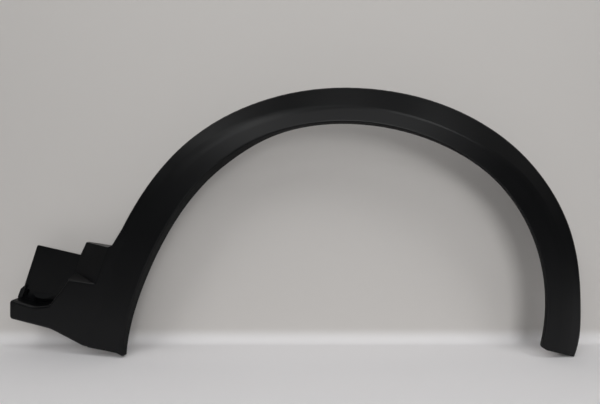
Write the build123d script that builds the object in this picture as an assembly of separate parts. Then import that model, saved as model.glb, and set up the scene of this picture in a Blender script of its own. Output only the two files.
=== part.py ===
from build123d import *
import os
from math import cos, pi, radians, sin, tan

os.makedirs("parts", exist_ok=True)

# Wheel arch trim, one moulding. Millimetres, +Z up, +X along the car, +Y into the body.
# The origin is the hole in the clip tower at the crown. Angles are those of the outward
# normal of the lip line, counted from +X towards +Z.

# Lip line: five arcs, each tangent to the next, and the angles where they meet
R_CROWN = 439.5
R_RIGHT = 320.5
R_LEFT = 341.5
R_FLANK = 671.5
R_FOOT = 333.5
JOIN_RIGHT = 57.5
JOIN_LEFT = 102.4
JOIN_FLANK = 143.0
JOIN_FOOT = 164.3
END_RIGHT = -15.4
END_LEFT = 177.9

# Strip section
WALL = 2.6
FLARE = 38.0
WIDTH_CROWN = 70.6
WIDTH_SHOULDER = 83.9
WIDTH_RIGHT = 74.3
WIDTH_LEFT = 74.3
CREASE_CROWN = 28.5
CREASE_LEG = 43.5
CREASE_SHARP = 2.5
CREASE_SOFT = 11.0
FACE_TILT = 10.0
FACE_TILT_FOOT = 3.6
RIM_CROWN = 6.0
RIM_RIGHT = 30.0
RIM_LEFT = 33.4
RIM_ROUND = 4.0
LIP_ROUND = 3.0
FOOT_ROUND = 13.0
RETURN_RIGHT = 12.0
RETURN_CROWN = 20.0
RETURN_LEFT = 24.0
RETURN_FOOT = 14.0
TUCK_RIGHT = -2.0
TUCK_CROWN = 1.3
TUCK_SHOULDER = 7.6
TUCK_FLANK = 4.4
TUCK_FOOT = 3.1
STATIONS = 16

# Normal angles between which the section changes, each span from its first size to its second
WIDEN_SHOULDER = (95.0, 42.0)
WIDEN_RIGHT = (32.0, 2.0)
WIDEN_LEFT = (108.0, 128.0)
CREASE_RIGHT = (75.0, 30.0)
CREASE_LEFT = (95.0, 140.0)
SOFTEN_RIGHT = (60.0, 40.0)
SOFTEN_LEFT = (82.0, 118.0)
LIFT_RIGHT = (55.0, 0.0)
LIFT_LEFT = (118.0, 153.0)
DEEPEN_RIGHT = (90.0, 50.0)
DEEPEN_LEFT = (100.0, 125.0)
LEAN_RIGHT = (90.0, 40.0)
LEAN_SHOULDER = (98.0, 128.0)
LEAN_FLANK = (134.0, 155.0)
FOOT_SPAN = (162.0, 178.0)

# Bow of the body side in plan
BOW_RADIUS = 4000.0

# Clip towers and ribs on the back
CLIP_OFFSET = 35.5
CLIP_STANDOFF = 6.0
CLIP_HOLE_R = 4.0
TOWER_LENGTH = 26.0
TOWER_WIDTH = 20.0
TOWER_WALL = 2.0
TOWER_ROOF = 2.4
SHOULDER_DROP = 62.0
FLANK_DROP = 190.0
FOOT_DROP = 330.0
RIB_THICKNESS = 1.8
RIB_HEIGHT = 8.0
WEB_HEIGHT = 12.0
RIB_FIRST = 8.0
RIB_PITCH = 11.0
RIB_COUNT = 15
RIB_CLEAR = 4.5

# Sill end: levels out from the body, roundings, and how far outside the lip it is counted from
SILL_FACE = 34.2
SILL_SET = 1.5
SILL_ROUND = 5.0
SILL_CORNER = 7.0
WING_HEIGHT = 6.5
PLATE_THICKNESS = 2.6
PLATE_LIP_HEIGHT = 7.5
LUG_HEIGHT = 6.5
POCKET_DEPTH = 6.0
FLOOR_FACTOR = 1.1

# Sill end in the front view, along and up from the foot of the left leg, with corner roundings:
# the top edge over wing, step and arm, then the wavy bottom edge
SILL_TOP = [
    (30, 208, 0), (0, 240, 0), (-23, 203.3, 16), (-84, 211.5, 2.5), (-101, 179, 60), (-109.5, 139, 50),
    (-149, 90, 12), (-178, 87, 40), (-231.5, 100.5, 6),
]
SILL_BOTTOM = [(-280, 72, 0), (-147, 44.5, 60), (-79, 13.5, 45), (-40, 9, 30), (-10, 4.6, 5), (4, -1.5, 0)]
SILL_ROOT = (-14, -30)
SILL_HALF = 60.0
FOLD_TOP = (-27.4, 202.7)
FOLD_LOW = (-53.5, 133.8)
LEDGE_END = (-110, 140.3)
WING_LOW = (-109.4, 153.0)

# Recessed plate with its lip and lug, two blind pockets (place, length, height, turn), clip and webs
PLATE = [(-80, 181.5, 0), (-191, 204, 3), (-218.5, 124.5, 4), (-222, 106, 4), (-222, 86, 0), (-120, 86, 0)]
PLATE_LIP = [(-203, 108), (-179, 97.5), (-153, 105)]
LUG = [(-213.5, 121.5, 0), (-214, 125, 1.5), (-225, 116, 3), (-231, 101, 3), (-231, 92, 0), (-225, 91, 0)]
POCKETS = [(-176, 93, 46, 7, -2), (-213, 108, 15, 6.5, 60)]
SILL_CLIP = (-118, 80)
SILL_WEBS = (-78, -168)

# Working sizes that leave no trace: overruns of hollows and blocks that cut
OVERRUN = 20.0
FOOT_OVERRUN = 6.0
CUT = 900.0
NEAR = -80.0
FAR = 160.0
LEVEL_TOLERANCE = 0.01


def blend(angle, start, end):
    """Half cosine from 0 at the start angle to 1 at the end angle."""
    t = min(max((angle - start) / (end - start), 0.0), 1.0)
    return (1 - cos(pi * t)) / 2


def out(angle):
    """Outward direction (x, z) at a normal angle."""
    return cos(radians(angle)), sin(radians(angle))


def next_centre(centre, radius, new_radius, angle):
    """Centre of the arc that goes on from another one at an angle, tangent to it."""
    c, s = out(angle)
    return centre[0] + (radius - new_radius) * c, centre[1] + (radius - new_radius) * s


CENTRE_CROWN = (0.0, -CLIP_OFFSET - R_CROWN)
CENTRE_RIGHT = next_centre(CENTRE_CROWN, R_CROWN, R_RIGHT, JOIN_RIGHT)
CENTRE_LEFT = next_centre(CENTRE_CROWN, R_CROWN, R_LEFT, JOIN_LEFT)
CENTRE_FLANK = next_centre(CENTRE_LEFT, R_LEFT, R_FLANK, JOIN_FLANK)
CENTRE_FOOT = next_centre(CENTRE_FLANK, R_FLANK, R_FOOT, JOIN_FOOT)


def lip_point(angle):
    """Point (x, z) of the lip line."""
    if angle < JOIN_RIGHT:
        centre, radius = CENTRE_RIGHT, R_RIGHT
    elif angle < JOIN_LEFT:
        centre, radius = CENTRE_CROWN, R_CROWN
    elif angle < JOIN_FLANK:
        centre, radius = CENTRE_LEFT, R_LEFT
    elif angle < JOIN_FOOT:
        centre, radius = CENTRE_FLANK, R_FLANK
    else:
        centre, radius = CENTRE_FOOT, R_FOOT
    c, s = out(angle)
    return centre[0] + radius * c, centre[1] + radius * s


def body_y(x):
    """Depth of the body panel, which bows away towards both ends."""
    return CLIP_STANDOFF + x * x / (2 * BOW_RADIUS)


def width(angle):
    """Strip width from lip to rim."""
    shoulder = (WIDTH_SHOULDER - WIDTH_CROWN) * blend(angle, *WIDEN_SHOULDER)
    right = (WIDTH_RIGHT - WIDTH_SHOULDER) * blend(angle, *WIDEN_RIGHT)
    left = (WIDTH_LEFT - WIDTH_CROWN) * blend(angle, *WIDEN_LEFT)
    return WIDTH_CROWN + shoulder + right + left


def crease_place(angle):
    """Distance of the crease from the lip."""
    right = blend(angle, *CREASE_RIGHT)
    left = blend(angle, *CREASE_LEFT)
    return CREASE_CROWN + (CREASE_LEG - CREASE_CROWN) * (right + left)


def crease_reach(angle):
    """How far the rounding of the crease reaches along each facet."""
    soft = blend(angle, *SOFTEN_RIGHT) + blend(angle, *SOFTEN_LEFT)
    return CREASE_SHARP + (CREASE_SOFT - CREASE_SHARP) * soft


def rim_height(angle):
    """How far the rim stands out from the body."""
    left = (RIM_LEFT - RIM_CROWN) * blend(angle, *LIFT_LEFT)
    right = (RIM_RIGHT - RIM_CROWN) * blend(angle, *LIFT_RIGHT)
    return RIM_CROWN + left + right


def face_tilt(angle):
    """Lean of the face between lip and crease."""
    foot = blend(angle, *LIFT_LEFT) + blend(angle, *LIFT_RIGHT)
    return FACE_TILT + (FACE_TILT_FOOT - FACE_TILT) * foot


def return_depth(angle):
    """Depth of the turned-in return behind the lip."""
    right = (RETURN_RIGHT - RETURN_CROWN) * blend(angle, *DEEPEN_RIGHT)
    left = (RETURN_LEFT - RETURN_CROWN) * blend(angle, *DEEPEN_LEFT)
    foot = (RETURN_FOOT - RETURN_LEFT) * blend(angle, *FOOT_SPAN)
    return RETURN_CROWN + right + left + foot


def return_tuck(angle):
    """How far the back edge of the return leans in towards the wheel."""
    right = (TUCK_RIGHT - TUCK_CROWN) * blend(angle, *LEAN_RIGHT)
    shoulder = (TUCK_SHOULDER - TUCK_CROWN) * blend(angle, *LEAN_SHOULDER)
    flank = (TUCK_FLANK - TUCK_SHOULDER) * blend(angle, *LEAN_FLANK)
    foot = (TUCK_FOOT - TUCK_FLANK) * blend(angle, *FOOT_SPAN)
    return TUCK_CROWN + right + shoulder + flank + foot


def meet(p, d, q, e):
    """Point where two section lines meet."""
    k = ((q.X - p.X) * e.Y - (q.Y - p.Y) * e.X) / (d.X * e.Y - d.Y * e.X)
    return p + d * k


def section_points(angle, inset):
    """Corners of the filled strip section, moved in by the inset: return, lip, crease, rim, back."""
    x, z = lip_point(angle)
    c, s = out(angle)

    def place(n, v):
        return Vector(n, v - body_y(x + n * c))

    w = width(angle)
    fold = crease_place(angle)
    rim = rim_height(angle)
    fall = fold * tan(radians(face_tilt(angle)))
    back = place(-return_tuck(angle), FLARE - return_depth(angle))
    lip = place(0, FLARE)
    crease = place(fold, FLARE - fall)
    edge = place(w, rim)
    foot = place(w, 0)
    if inset == 0:
        return back, lip, crease, edge, foot
    lines = []
    for p, q in ((back, lip), (lip, crease), (crease, edge), (edge, foot)):
        d = (q - p).normalized()
        lines.append((p + Vector(d.Y, -d.X) * inset, d))
    lip = meet(*lines[0], *lines[1])
    crease = meet(*lines[1], *lines[2])
    edge = meet(*lines[2], *lines[3])
    back = lip - lines[0][1] * (return_depth(angle) + OVERRUN)
    foot = edge + lines[3][1] * (rim + OVERRUN)
    return back, lip, crease, edge, foot


def section_plane(angle):
    """Plane of a strip section: local x outward from the lip, local y out from the car."""
    x, z = lip_point(angle)
    c, s = out(angle)
    return Plane(origin=(x, 0, z), x_dir=(c, 0, s), z_dir=(s, 0, -c))


def corner(p, q, r, reach):
    """Tangent points of a rounding at q that reaches a distance along both sides."""
    return q + (p - q).normalized() * reach, q + (r - q).normalized() * reach


def section(angle, inset):
    """Face of the filled strip section, its lip and rim rounded on the outside only."""
    back, lip, crease, edge, foot = section_points(angle, inset)
    c1, c2 = corner(lip, crease, edge, crease_reach(angle))
    lines = Bezier(c1, crease, c2) + Line(foot, back)
    if inset:
        lines += Line(back, lip) + Line(lip, c1) + Line(c2, edge) + Line(edge, foot)
    else:
        l1, l2 = corner(back, lip, crease, LIP_ROUND)
        e1, e2 = corner(crease, edge, foot, RIM_ROUND)
        lines += Line(back, l1) + Bezier(l1, lip, l2) + Line(l2, c1)
        lines += Line(c2, e1) + Bezier(e1, edge, e2) + Line(e2, foot)
    return section_plane(angle) * make_face(lines)


def strip(inset):
    """Filled strip round the arch, or its hollow."""
    start = END_RIGHT + inset * 180 / (pi * R_RIGHT)
    step = (END_LEFT + FOOT_OVERRUN - start) / STATIONS
    return loft([section(start + step * i, inset) for i in range(STATIONS + 1)])


def foot_corner(inset):
    """Spandrel that rounds the lower corner of the right leg, beside its lip."""
    x, z = lip_point(END_RIGHT)
    c, s = out(END_RIGHT)
    square = Rectangle(2 * FOOT_ROUND, 2 * FOOT_ROUND)
    square -= Pos(FOOT_ROUND, FOOT_ROUND) * Circle(FOOT_ROUND - inset)
    seat = Plane(origin=(x, FAR, z), x_dir=(c, 0, s), z_dir=(0, -1, 0))
    return extrude(seat * square, amount=FAR - NEAR)


FOOT = tuple(p + SILL_SET * d for p, d in zip(lip_point(END_LEFT), out(END_LEFT)))
SILL_MIDDLE = FOOT[0] - SILL_HALF
SILL_SLOPE = SILL_MIDDLE / BOW_RADIUS


def sill_y(x):
    """Depth of the body panel behind the sill end, taken flat."""
    return body_y(SILL_MIDDLE) + SILL_SLOPE * (x - SILL_MIDDLE)


def sill_point(u, w, v):
    """Point of the sill end: along and up from the foot, and out from the body."""
    x = FOOT[0] + u
    return Vector(x, sill_y(x) - v, FOOT[1] + w)


def rounded(points):
    """Edges through corners (u, w, radius) in the front view, each corner rounded."""
    flat = [Vector(u, w) for u, w, r in points]
    edges = []
    last = flat[0]
    for i in range(1, len(points) - 1):
        a, b, c = flat[i - 1], flat[i], flat[i + 1]
        r = points[i][2]
        if r == 0:
            edges.append(Line(last, b))
            last = b
            continue
        d, e = (a - b).normalized(), (c - b).normalized()
        half = d.get_angle(e) / 2
        reach = r * cos(radians(half)) / sin(radians(half))
        p, q = b + d * reach, b + e * reach
        middle = b + (d + e).normalized() * (r / sin(radians(half)) - r)
        edges.append(Line(last, p))
        edges.append(ThreePointArc(p, middle, q))
        last = q
    edges.append(Line(last, flat[-1]))
    return edges


FRONT = Plane(origin=(FOOT[0], 0, FOOT[1]), x_dir=(1, 0, 0), z_dir=(0, -1, 0))


def closed(points):
    """Face inside corners (along, up, rounding), the first of them square."""
    return make_face(rounded(points + [points[0]]))


def front_prism(face):
    """Front-view face drawn out along Y, right through the part."""
    return extrude(FRONT.offset(-FAR) * face, amount=FAR - NEAR)


def above(a, b, c, inset):
    """Block on the outer side of the plane through three points, moved in by the inset."""
    normal = (b - a).cross(c - a).normalized()
    if normal.Y > 0:
        normal = normal * -1
    base = Plane(origin=a - normal * inset, x_dir=b - a, z_dir=normal)
    return base * Pos(0, 0, CUT / 2) * Box(CUT, CUT, CUT)


def outside(height):
    """Block out from a flat level over the sill end."""
    return above(sill_point(0, 0, height), sill_point(-1, 0, height), sill_point(0, 1, height), 0)


def layer(face, low, high):
    """Front-view face between two levels over the sill end."""
    return (front_prism(face) & outside(low)) - outside(high)


def below_sill(lift):
    """Block under the wavy bottom edge."""
    right = SILL_TOP[0][0]
    left, top, _ = SILL_BOTTOM[0]
    points = SILL_BOTTOM + [(right, 0, 0), (right, NEAR, 0), (left, NEAR, 0), (left, top, 0)]
    return Pos(0, 0, lift) * front_prism(make_face(rounded(points)))


def rim_edges(block):
    """Front edges of the sill end that are seen: left end, underside, fold, step and ledge."""
    front = sill_point(0, 0, SILL_FACE)
    normal = Vector(SILL_SLOPE, -1, 0).normalized()
    edges = []
    for edge in block.edges():
        ends = (edge @ 0, edge @ 0.5, edge @ 1)
        if max(abs((p - front).dot(normal)) for p in ends) > LEVEL_TOLERANCE:
            continue
        middle = edge @ 0.5
        if middle.X < FOOT[0] + FOLD_TOP[0] and middle.Z < FOOT[1] + FOLD_TOP[1]:
            edges.append(edge)
    return edges


def sill(inset):
    """Filled sill end with its wing pocket, or its hollow."""
    left = SILL_TOP[-1][0]
    face = closed(SILL_TOP + [(left, 0, 0), (*SILL_ROOT, 0)])
    low = 0
    if inset:
        face = offset(face, amount=-inset, kind=Kind.INTERSECTION)
        low = -2 * OVERRUN
    block = layer(face, low, SILL_FACE - inset)
    fold_top = sill_point(*FOLD_TOP, SILL_FACE)
    fold_low = sill_point(*FOLD_LOW, SILL_FACE)
    ledge_end = sill_point(*LEDGE_END, SILL_FACE)
    wing_low = sill_point(*WING_LOW, WING_HEIGHT)
    wing = above(fold_top, fold_low, wing_low, inset)
    ledge = above(fold_low, ledge_end, wing_low, inset)
    block -= wing & ledge
    block -= below_sill(FLOOR_FACTOR * inset)
    if inset == 0:
        corner_edge = block.edges().filter_by(Axis.Y).sort_by(Axis.X)[:2].sort_by(Axis.Z)[0]
        block = fillet(corner_edge, SILL_CORNER)
        block = fillet(rim_edges(block), SILL_ROUND)
    return block


def pocket_face(u, w, length, height, turn):
    """Front-view slot with round ends."""
    return Pos(u, w) * SlotOverall(length, height, rotation=turn)


def pocket_walls(face):
    """Walls of a blind pocket sunk behind the plate."""
    return layer(offset(face, amount=WALL), -POCKET_DEPTH - WALL, PLATE_THICKNESS)


def pocket_hollow(face):
    """Hollow of a blind pocket."""
    return layer(face, -POCKET_DEPTH, PLATE_LIP_HEIGHT)


def plate_lip():
    """Bowed lip along the foot of the plate, leaning out as it goes down."""
    left, low, right = PLATE_LIP
    face = make_face(Line(left, right) + ThreePointArc(left, low, right))
    slope = [sill_point(*left, PLATE_THICKNESS), sill_point(*right, PLATE_THICKNESS)]
    return layer(face, 0, PLATE_LIP_HEIGHT) - above(*slope, sill_point(*low, PLATE_LIP_HEIGHT), 0)


# Skin: filled form less its hollow
outer = strip(0) + sill(0)
outer -= below_sill(0)
outer -= foot_corner(0)
inner = strip(WALL) + sill(WALL)
inner -= below_sill(FLOOR_FACTOR * WALL)
inner -= foot_corner(WALL)

# Recessed plate
pockets = [pocket_face(*pocket) for pocket in POCKETS]
plate = layer(closed(PLATE), 0, PLATE_THICKNESS)
plate += layer(closed(LUG), 0, LUG_HEIGHT)
plate += plate_lip()
solid = outer + plate
for pocket in pockets:
    solid += pocket_walls(pocket)
shell = solid - inner
for pocket in pockets:
    shell -= pocket_hollow(pocket)


def angle_at(z, low, high):
    """Normal angle where the middle of the strip passes a height, found by halving."""
    for _ in range(40):
        middle = (low + high) / 2
        height = lip_point(middle)[1] + CLIP_OFFSET * out(middle)[1]
        if (height > z) == (abs(low - 90) < abs(high - 90)):
            low = middle
        else:
            high = middle
    return (low + high) / 2


def tower_place(angle):
    """Middle (x, z) of a clip tower on the strip."""
    x, z = lip_point(angle)
    c, s = out(angle)
    return x + CLIP_OFFSET * c, z + CLIP_OFFSET * s


def tower(x, z, angle, roof):
    """Clip tower with a holed roof, open at one end for the clip."""
    c, s = out(angle)
    seat = Plane(origin=(x, roof, z), x_dir=(c, 0, s), z_dir=(0, -1, 0))
    deep = FLARE + OVERRUN
    box = seat * Pos(0, 0, deep / 2) * Box(TOWER_WIDTH, TOWER_LENGTH, deep)
    room = Box(TOWER_WIDTH - 2 * TOWER_WALL, TOWER_LENGTH, deep)
    box -= seat * Pos(0, TOWER_WALL, TOWER_ROOF + deep / 2) * room
    return box - seat * Cylinder(CLIP_HOLE_R, OVERRUN)


PAIRS = []
for drop in (SHOULDER_DROP, FLANK_DROP, FOOT_DROP):
    left = angle_at(-drop, 90, END_LEFT)
    right = angle_at(-drop, END_RIGHT, 90)
    PAIRS.append((left, right))

towers = tower(0, 0, 90, 0)
for left, right in PAIRS:
    xl, zl = tower_place(left)
    xr, zr = tower_place(right)
    roof = (body_y(xl) + body_y(xr)) / 2 - CLIP_STANDOFF
    towers += tower(xl, zl, left, roof)
    towers += tower(xr, zr, right, roof)


def rib(angle):
    """Low web across the hollow of the strip, following return, face and rim."""
    web = section(angle, WALL / 2) & section(angle, 0)
    web -= section(angle, WALL + RIB_HEIGHT)
    return extrude(web, amount=RIB_THICKNESS / 2, both=True)


clip_angles = [90] + [a for pair in PAIRS for a in pair]
ribs = []
for i in range(RIB_COUNT):
    angle = END_RIGHT + RIB_FIRST + i * RIB_PITCH
    if min(abs(angle - a) for a in clip_angles) > RIB_CLEAR:
        ribs.append(rib(angle))

# One clip tower and two webs in the hollow of the sill end
filled = sill(WALL / 2)
seat = sill_point(*SILL_CLIP, CLIP_STANDOFF)
sill_inside = [tower(seat.X, seat.Z, 90, seat.Y) & filled]
for u in SILL_WEBS:
    web = Pos(u, 0) * Rectangle(RIB_THICKNESS, CUT)
    sill_inside.append(layer(web, SILL_FACE - WALL - WEB_HEIGHT, SILL_FACE) & filled)

part = shell + [towers & strip(WALL / 2)] + ribs + sill_inside

export_step(part, "parts/arch_moulding.step")
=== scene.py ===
import logging
from dataclasses import dataclass
from enum import Enum
from typing import Any, Union

import bpy
import numpy as np
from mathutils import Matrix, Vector


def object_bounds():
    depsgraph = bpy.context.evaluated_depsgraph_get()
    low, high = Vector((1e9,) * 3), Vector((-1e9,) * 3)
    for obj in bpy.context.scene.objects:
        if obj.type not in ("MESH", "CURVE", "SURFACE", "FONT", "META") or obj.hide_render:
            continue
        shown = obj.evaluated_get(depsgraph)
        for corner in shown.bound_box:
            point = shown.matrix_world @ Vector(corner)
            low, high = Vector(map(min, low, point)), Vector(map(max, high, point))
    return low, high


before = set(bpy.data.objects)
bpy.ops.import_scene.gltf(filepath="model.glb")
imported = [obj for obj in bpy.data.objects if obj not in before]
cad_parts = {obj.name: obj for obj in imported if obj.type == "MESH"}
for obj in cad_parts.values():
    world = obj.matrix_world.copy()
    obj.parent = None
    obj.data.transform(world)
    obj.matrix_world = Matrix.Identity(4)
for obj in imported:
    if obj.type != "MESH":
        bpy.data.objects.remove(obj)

LOG = logging.getLogger("arch_trim")
CAD_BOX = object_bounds()
NODE = "arch_moulding"
IMAGE_WIDTH = 600
SENSOR_MM = 36.0
WHITE = (1.0, 1.0, 1.0, 1.0)


class Operation(Enum):
    """What a Math node does."""

    ADD = "ADD"
    SUBTRACT = "SUBTRACT"
    MULTIPLY = "MULTIPLY"


class VectorOperation(Enum):
    """What a Vector Math node does."""

    SUBTRACT = "SUBTRACT"
    MULTIPLY = "MULTIPLY"
    NORMALIZE = "NORMALIZE"
    DOT_PRODUCT = "DOT_PRODUCT"


class Shade:
    """One socket of a shader tree, with operators that add Math nodes."""

    def __init__(self, tree: "Tree", socket: Any) -> None:
        """Wraps a socket.

        Args:
            tree: The tree that the socket belongs to.
            socket: The output socket.
        """
        self.tree = tree
        self.socket = socket

    def _math(self, operation: Operation, left: Any, right: Any) -> "Shade":
        """Adds one Math node.

        Args:
            operation: What the node does.
            left: First value or socket.
            right: Second value or socket.

        Returns:
            The node's value.
        """
        return self.tree.node("ShaderNodeMath", {"operation": operation.value}, {0: left, 1: right})

    def __add__(self, other: Any) -> "Shade":
        """Sum."""
        return self._math(Operation.ADD, self, other)

    def __radd__(self, other: Any) -> "Shade":
        """Sum with a number on the left."""
        return self._math(Operation.ADD, other, self)

    def __sub__(self, other: Any) -> "Shade":
        """Difference."""
        return self._math(Operation.SUBTRACT, self, other)

    def __rsub__(self, other: Any) -> "Shade":
        """Difference with a number on the left."""
        return self._math(Operation.SUBTRACT, other, self)

    def __mul__(self, other: Any) -> "Shade":
        """Product."""
        return self._math(Operation.MULTIPLY, self, other)

    def __rmul__(self, other: Any) -> "Shade":
        """Product with a number on the left."""
        return self._math(Operation.MULTIPLY, other, self)


class Tree:
    """A node tree under construction."""

    def __init__(self, tree: Any) -> None:
        """Empties a node tree.

        Args:
            tree: The Blender node tree.
        """
        self.tree = tree
        self.tree.nodes.clear()

    def node(self, kind: str, settings: dict, sockets: dict, output: Union[int, str] = 0) -> Shade:
        """Adds any node.

        Args:
            kind: The node's type.
            settings: Properties, set before the sockets.
            sockets: Input name or index to a value or a Shade.
            output: The output that is handed back.

        Returns:
            The chosen output, or an empty Shade for a node that has none.
        """
        made = self.tree.nodes.new(kind)
        for name, value in settings.items():
            setattr(made, name, value)
        for name, value in sockets.items():
            if isinstance(value, Shade):
                self.tree.links.new(value.socket, made.inputs[name])
            else:
                made.inputs[name].default_value = value
        return Shade(self, made.outputs[output] if len(made.outputs) else None)

    def vector(self, operation: VectorOperation, *inputs: Any, output: Union[int, str] = 0) -> Shade:
        """Adds one Vector Math node.

        Args:
            operation: What the node does.
            inputs: Vectors or Shades, in the node's order.
            output: The output that is handed back.

        Returns:
            The chosen output.
        """
        settings = {"operation": operation.value}
        return self.node("ShaderNodeVectorMath", settings, dict(enumerate(inputs)), output)

    def mix(self, share: Shade, first: tuple, second: Any) -> Shade:
        """Mixes two colours.

        Args:
            share: Share of the second colour.
            first: First colour, three numbers.
            second: Second colour, three numbers or a Shade.

        Returns:
            The mixed colour.
        """
        last = second if isinstance(second, Shade) else (*second, 1.0)
        return self.node("ShaderNodeMix", {"data_type": "RGBA"}, {0: share, 6: (*first, 1.0), 7: last}, 2)

    def ramp(self, value: Shade, start: float, end: float, low: float = 0.0, high: float = 1.0) -> Shade:
        """Carries a value smoothly from one level to another.

        Args:
            value: The value read.
            start: Where the low level ends.
            end: Where the high level begins.
            low: Level at the start.
            high: Level at the end.

        Returns:
            The level.
        """
        return self.node("ShaderNodeMapRange", {"interpolation_type": "SMOOTHSTEP"},
                         {"Value": value, "From Min": start, "From Max": end, "To Min": low, "To Max": high})


@dataclass(frozen=True)
class GrainedPlastic:
    """Moulded black plastic with a fine grain, duller on the return that faces the wheel."""

    colour: tuple = (0.0011, 0.0013, 0.0017)
    worn_colour: tuple = (0.0016, 0.0018, 0.0023)
    specular: float = 0.26
    roughness: float = 0.38
    roughness_swing: float = 0.10
    cloud_per_metre: float = 9.0
    cloud_detail: float = 3.0
    cloud_contrast: float = 0.55
    cloud_mean: float = 0.5
    grain_per_metre: float = 850.0
    grain_smoothness: float = 0.6
    grain_height: float = 0.00003
    grain_strength: float = 0.5
    fine_per_grain: float = 2.2
    fine_detail: float = 2.0
    fine_share: float = 0.35
    return_roughness: float = 0.80
    return_from: float = -0.4
    return_to: float = -0.8
    wheel_centre: tuple = (0.0, 0.0, -0.475)
    upright_plane: tuple = (1.0, 0.0, 1.0)

    def wheel_side(self, tree: Tree, place: Shade) -> Shade:
        """Finds the faces that look at the wheel: the normal against the direction from the wheel's axis.

        Args:
            tree: The tree that gets the nodes.
            place: Object coordinates.

        Returns:
            One on the return, falling to zero on the other faces.
        """
        normal = tree.node("ShaderNodeTexCoord", {}, {}, "Normal")
        arm = tree.vector(VectorOperation.SUBTRACT, place, self.wheel_centre)
        flat = tree.vector(VectorOperation.MULTIPLY, arm, self.upright_plane)
        away = tree.vector(VectorOperation.NORMALIZE, flat)
        facing = tree.vector(VectorOperation.DOT_PRODUCT, normal, away, output="Value")
        return tree.ramp(facing, self.return_from, self.return_to)

    def material(self) -> bpy.types.Material:
        """Builds the material.

        Returns:
            The finished material.
        """
        made = bpy.data.materials.new("grained_black_plastic")
        made.use_nodes = True
        tree = Tree(made.node_tree)
        place = tree.node("ShaderNodeTexCoord", {}, {}, "Object")
        cloud = tree.node("ShaderNodeTexNoise", {},
                          {"Vector": place, "Scale": self.cloud_per_metre,
                           "Detail": self.cloud_detail, "Roughness": self.cloud_contrast})
        grain = tree.node("ShaderNodeTexVoronoi", {"feature": "SMOOTH_F1"},
                          {"Vector": place, "Scale": self.grain_per_metre,
                           "Smoothness": self.grain_smoothness})
        fine = tree.node("ShaderNodeTexNoise", {},
                         {"Vector": place, "Scale": self.fine_per_grain * self.grain_per_metre,
                          "Detail": self.fine_detail})
        bump = tree.node("ShaderNodeBump", {},
                         {"Height": grain + self.fine_share * fine, "Strength": self.grain_strength,
                          "Distance": self.grain_height})
        face = self.roughness + self.roughness_swing * (cloud - self.cloud_mean)
        wheel_side = self.wheel_side(tree, place)
        shader = tree.node("ShaderNodeBsdfPrincipled", {},
                           {"Base Color": tree.mix(cloud, self.colour, self.worn_colour),
                            "Roughness": face + (self.return_roughness - face) * wheel_side,
                            "Normal": bump, "Specular IOR Level": self.specular})
        tree.node("ShaderNodeOutputMaterial", {}, {"Surface": shader})
        return made


@dataclass(frozen=True)
class StagePaper:
    """Plain pale paper of the floor and wall, clear from its back, with painted shade that darkens the floor
    far in front of the part.
    """

    wall_colour: tuple = (0.62, 0.60, 0.58)
    floor_colour: tuple = (0.94, 0.93, 0.94)
    # Painted shade: the floor's colour far in front of the part, darker so that the part's lower faces
    # reflect a dark room.
    painted_shade_colour: tuple = (0.28, 0.28, 0.28)
    painted_shade_from: float = -0.21
    painted_shade_to: float = -0.68
    roughness: float = 1.0
    specular: float = 0.0

    def material(self, low: float, turn: float) -> bpy.types.Material:
        """Builds the material.

        Args:
            low: Height of the floor.
            turn: Height over the floor at which it has become the wall.

        Returns:
            The finished material.
        """
        made = bpy.data.materials.new("stage_paper")
        made.use_nodes = True
        tree = Tree(made.node_tree)
        place = tree.node("ShaderNodeTexCoord", {}, {}, "Object")
        depth = tree.node("ShaderNodeSeparateXYZ", {}, {0: place}, "Y")
        height = tree.node("ShaderNodeSeparateXYZ", {}, {0: place}, "Z")
        flat = tree.ramp(height, low + turn, low)
        # Painted shade: the floor darkens from painted_shade_from to painted_shade_to in front of the part,
        # standing in for the room's light falling off.
        unshaded_share = tree.ramp(depth, self.painted_shade_to, self.painted_shade_from)
        colour = tree.mix(unshaded_share, self.painted_shade_colour, tree.mix(flat, self.wall_colour, self.floor_colour))
        front = tree.node("ShaderNodeBsdfPrincipled", {},
                          {"Base Color": colour, "Roughness": self.roughness,
                           "Specular IOR Level": self.specular})
        clear = tree.node("ShaderNodeBsdfTransparent", {}, {})
        behind = tree.node("ShaderNodeNewGeometry", {}, {}, "Backfacing")
        shader = tree.node("ShaderNodeMixShader", {}, {0: behind, 1: front, 2: clear})
        tree.node("ShaderNodeOutputMaterial", {}, {"Surface": shader})
        return made


@dataclass
class ArchMoulding:
    """The one-piece moulding."""

    finish: GrainedPlastic

    def dress(self) -> None:
        """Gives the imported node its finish."""
        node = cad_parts[NODE]
        node.data.materials.clear()
        node.data.materials.append(self.finish.material())
        LOG.info("dressed %s", NODE)


@dataclass(frozen=True)
class SoftBox:
    """One soft box, placed by direction from the part and turned to it."""

    name: str
    azimuth: float
    elevation: float
    size: tuple
    power: float
    distance: float = 2.5
    aim: tuple = (-0.05, 0.0, -0.1)

    def hang(self) -> None:
        """Hangs the box.

        Its place is aim + distance * (sin a cos e, -cos a cos e, sin e), with azimuth a and elevation e.
        Azimuth counts from the front to the right.
        """
        azimuth, elevation = np.radians(self.azimuth), np.radians(self.elevation)
        flat = np.cos(elevation)
        way = Vector((np.sin(azimuth) * flat, -np.cos(azimuth) * flat, np.sin(elevation)))
        light = bpy.data.lights.new(self.name, "AREA")
        light.shape = "RECTANGLE"
        light.size, light.size_y = self.size
        light.energy = self.power
        made = bpy.data.objects.new(self.name, light)
        made.location = Vector(self.aim) + self.distance * way
        made.rotation_euler = (-way).to_track_quat("-Z", "Y").to_euler()
        bpy.context.scene.collection.objects.link(made)
        LOG.info("hung %s", self.name)


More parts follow.
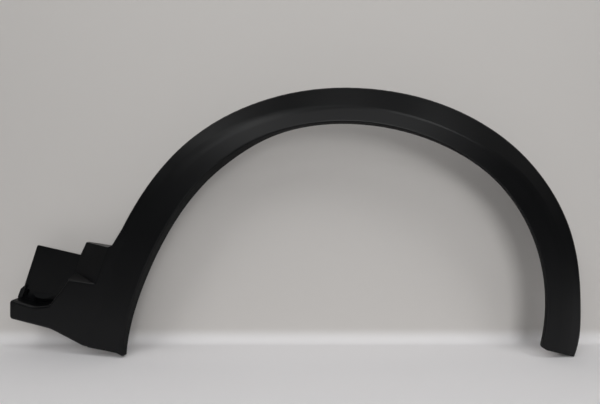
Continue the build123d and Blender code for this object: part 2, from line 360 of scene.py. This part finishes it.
@dataclass
class Studio:
    """Paper, soft boxes and surrounding light."""

    paper: StagePaper
    boxes: tuple = (
        SoftBox("front_low_box", 10.0, 6.0, (0.85, 0.65), 15.7),
        SoftBox("front_box", 3.0, 20.0, (1.7, 0.65), 8.6),
        SoftBox("left_box", -30.0, 38.0, (0.85, 1.3), 10.6),
        SoftBox("left_high_box", -60.0, 50.0, (1.4, 0.65), 4.3),
        SoftBox("right_box", 44.0, 41.0, (0.9, 0.7), 9.2),
        SoftBox("top_box", 10.0, 65.0, (0.85, 0.65), 3.2),
    )
    half_width: float = 10.0
    reach: float = 8.0
    wall_place: float = 0.10
    wall_height: float = 2.4
    cove_radius: float = 0.03
    cove_points: int = 9
    surround_dark: float = 0.045
    surround_pale: float = 0.80
    surround_from: float = 0.1
    surround_to: float = 0.9

    def sheet(self, name: str, y: np.ndarray, z: np.ndarray, finish: bpy.types.Material) -> None:
        """Lays one sheet of paper: a profile of points (y, z) carried straight along X.

        Args:
            name: The sheet's name.
            y: Depths of the profile's points.
            z: Heights of the profile's points.
            finish: The paper's material.
        """
        x = np.array([-self.half_width, self.half_width])
        points = np.stack(np.broadcast_arrays(x[None, :], y[:, None], z[:, None]), axis=-1).reshape(-1, 3)
        first = 2 * np.arange(len(y) - 1)
        faces = np.stack([first, first + 1, first + 3, first + 2], axis=1)
        mesh = bpy.data.meshes.new(name)
        mesh.from_pydata(points.tolist(), [], faces.tolist())
        mesh.shade_smooth()
        mesh.materials.append(finish)
        made = bpy.data.objects.new(name, mesh)
        bpy.context.scene.collection.objects.link(made)

    def lay_paper(self) -> None:
        """Lays the floor that sweeps up into the wall, and the floor behind the wall.

        The sweep runs along the floor, then round a quarter turn, then up the wall. A point of the turn is
        its centre plus the radius times (sin a, -cos a).
        """
        low, radius = CAD_BOX[0].z, self.cove_radius
        finish = self.paper.material(low, radius)
        turn = np.linspace(0.0, np.pi / 2, self.cove_points)
        centre_y, centre_z = self.wall_place - radius, low + radius
        y = np.concatenate([[-self.reach], centre_y + radius * np.sin(turn), [self.wall_place]])
        z = np.concatenate([[low], centre_z - radius * np.cos(turn), [low + self.wall_height]])
        self.sheet("stage_sweep", y, z, finish)
        self.sheet("stage_floor", np.array([centre_y, self.reach]), np.array([low, low]), finish)

    def surround(self) -> None:
        """Makes the room: dark where the part faces, paler towards the back."""
        world = bpy.data.worlds.new("surround")
        world.use_nodes = True
        tree = Tree(world.node_tree)
        way = tree.node("ShaderNodeTexCoord", {}, {}, "Generated")
        depth = tree.node("ShaderNodeSeparateXYZ", {}, {0: way}, "Y")
        level = tree.ramp(depth, self.surround_from, self.surround_to,
                          self.surround_dark, self.surround_pale)
        glow = tree.node("ShaderNodeBackground", {}, {"Color": WHITE, "Strength": level})
        tree.node("ShaderNodeOutputWorld", {}, {"Surface": glow})
        bpy.context.scene.world = world

    def build(self) -> None:
        """Builds paper, soft boxes and world."""
        self.lay_paper()
        for box in self.boxes:
            box.hang()
        self.surround()
        bpy.context.scene.view_settings.view_transform = "Standard"
        LOG.info("studio built")


@dataclass
class PhotoCamera:
    """Camera at the photograph's viewpoint, level and looking along +Y."""

    place: tuple = (-0.0806, -0.882, -0.1837)
    focal_px: float = 462.0

    def build(self) -> None:
        """Places the camera and makes it the scene's."""
        data = bpy.data.cameras.new("photo_camera")
        data.sensor_width = SENSOR_MM
        data.lens = self.focal_px / IMAGE_WIDTH * SENSOR_MM
        made = bpy.data.objects.new("photo_camera", data)
        made.location = self.place
        made.rotation_euler = (np.pi / 2, 0.0, 0.0)
        bpy.context.scene.collection.objects.link(made)
        bpy.context.scene.camera = made


def main() -> None:
    """Builds the scene in order."""
    logging.basicConfig(level=logging.INFO)
    ArchMoulding(GrainedPlastic()).dress()
    Studio(StagePaper()).build()
    PhotoCamera().build()


if __name__ == "__main__":
    main()
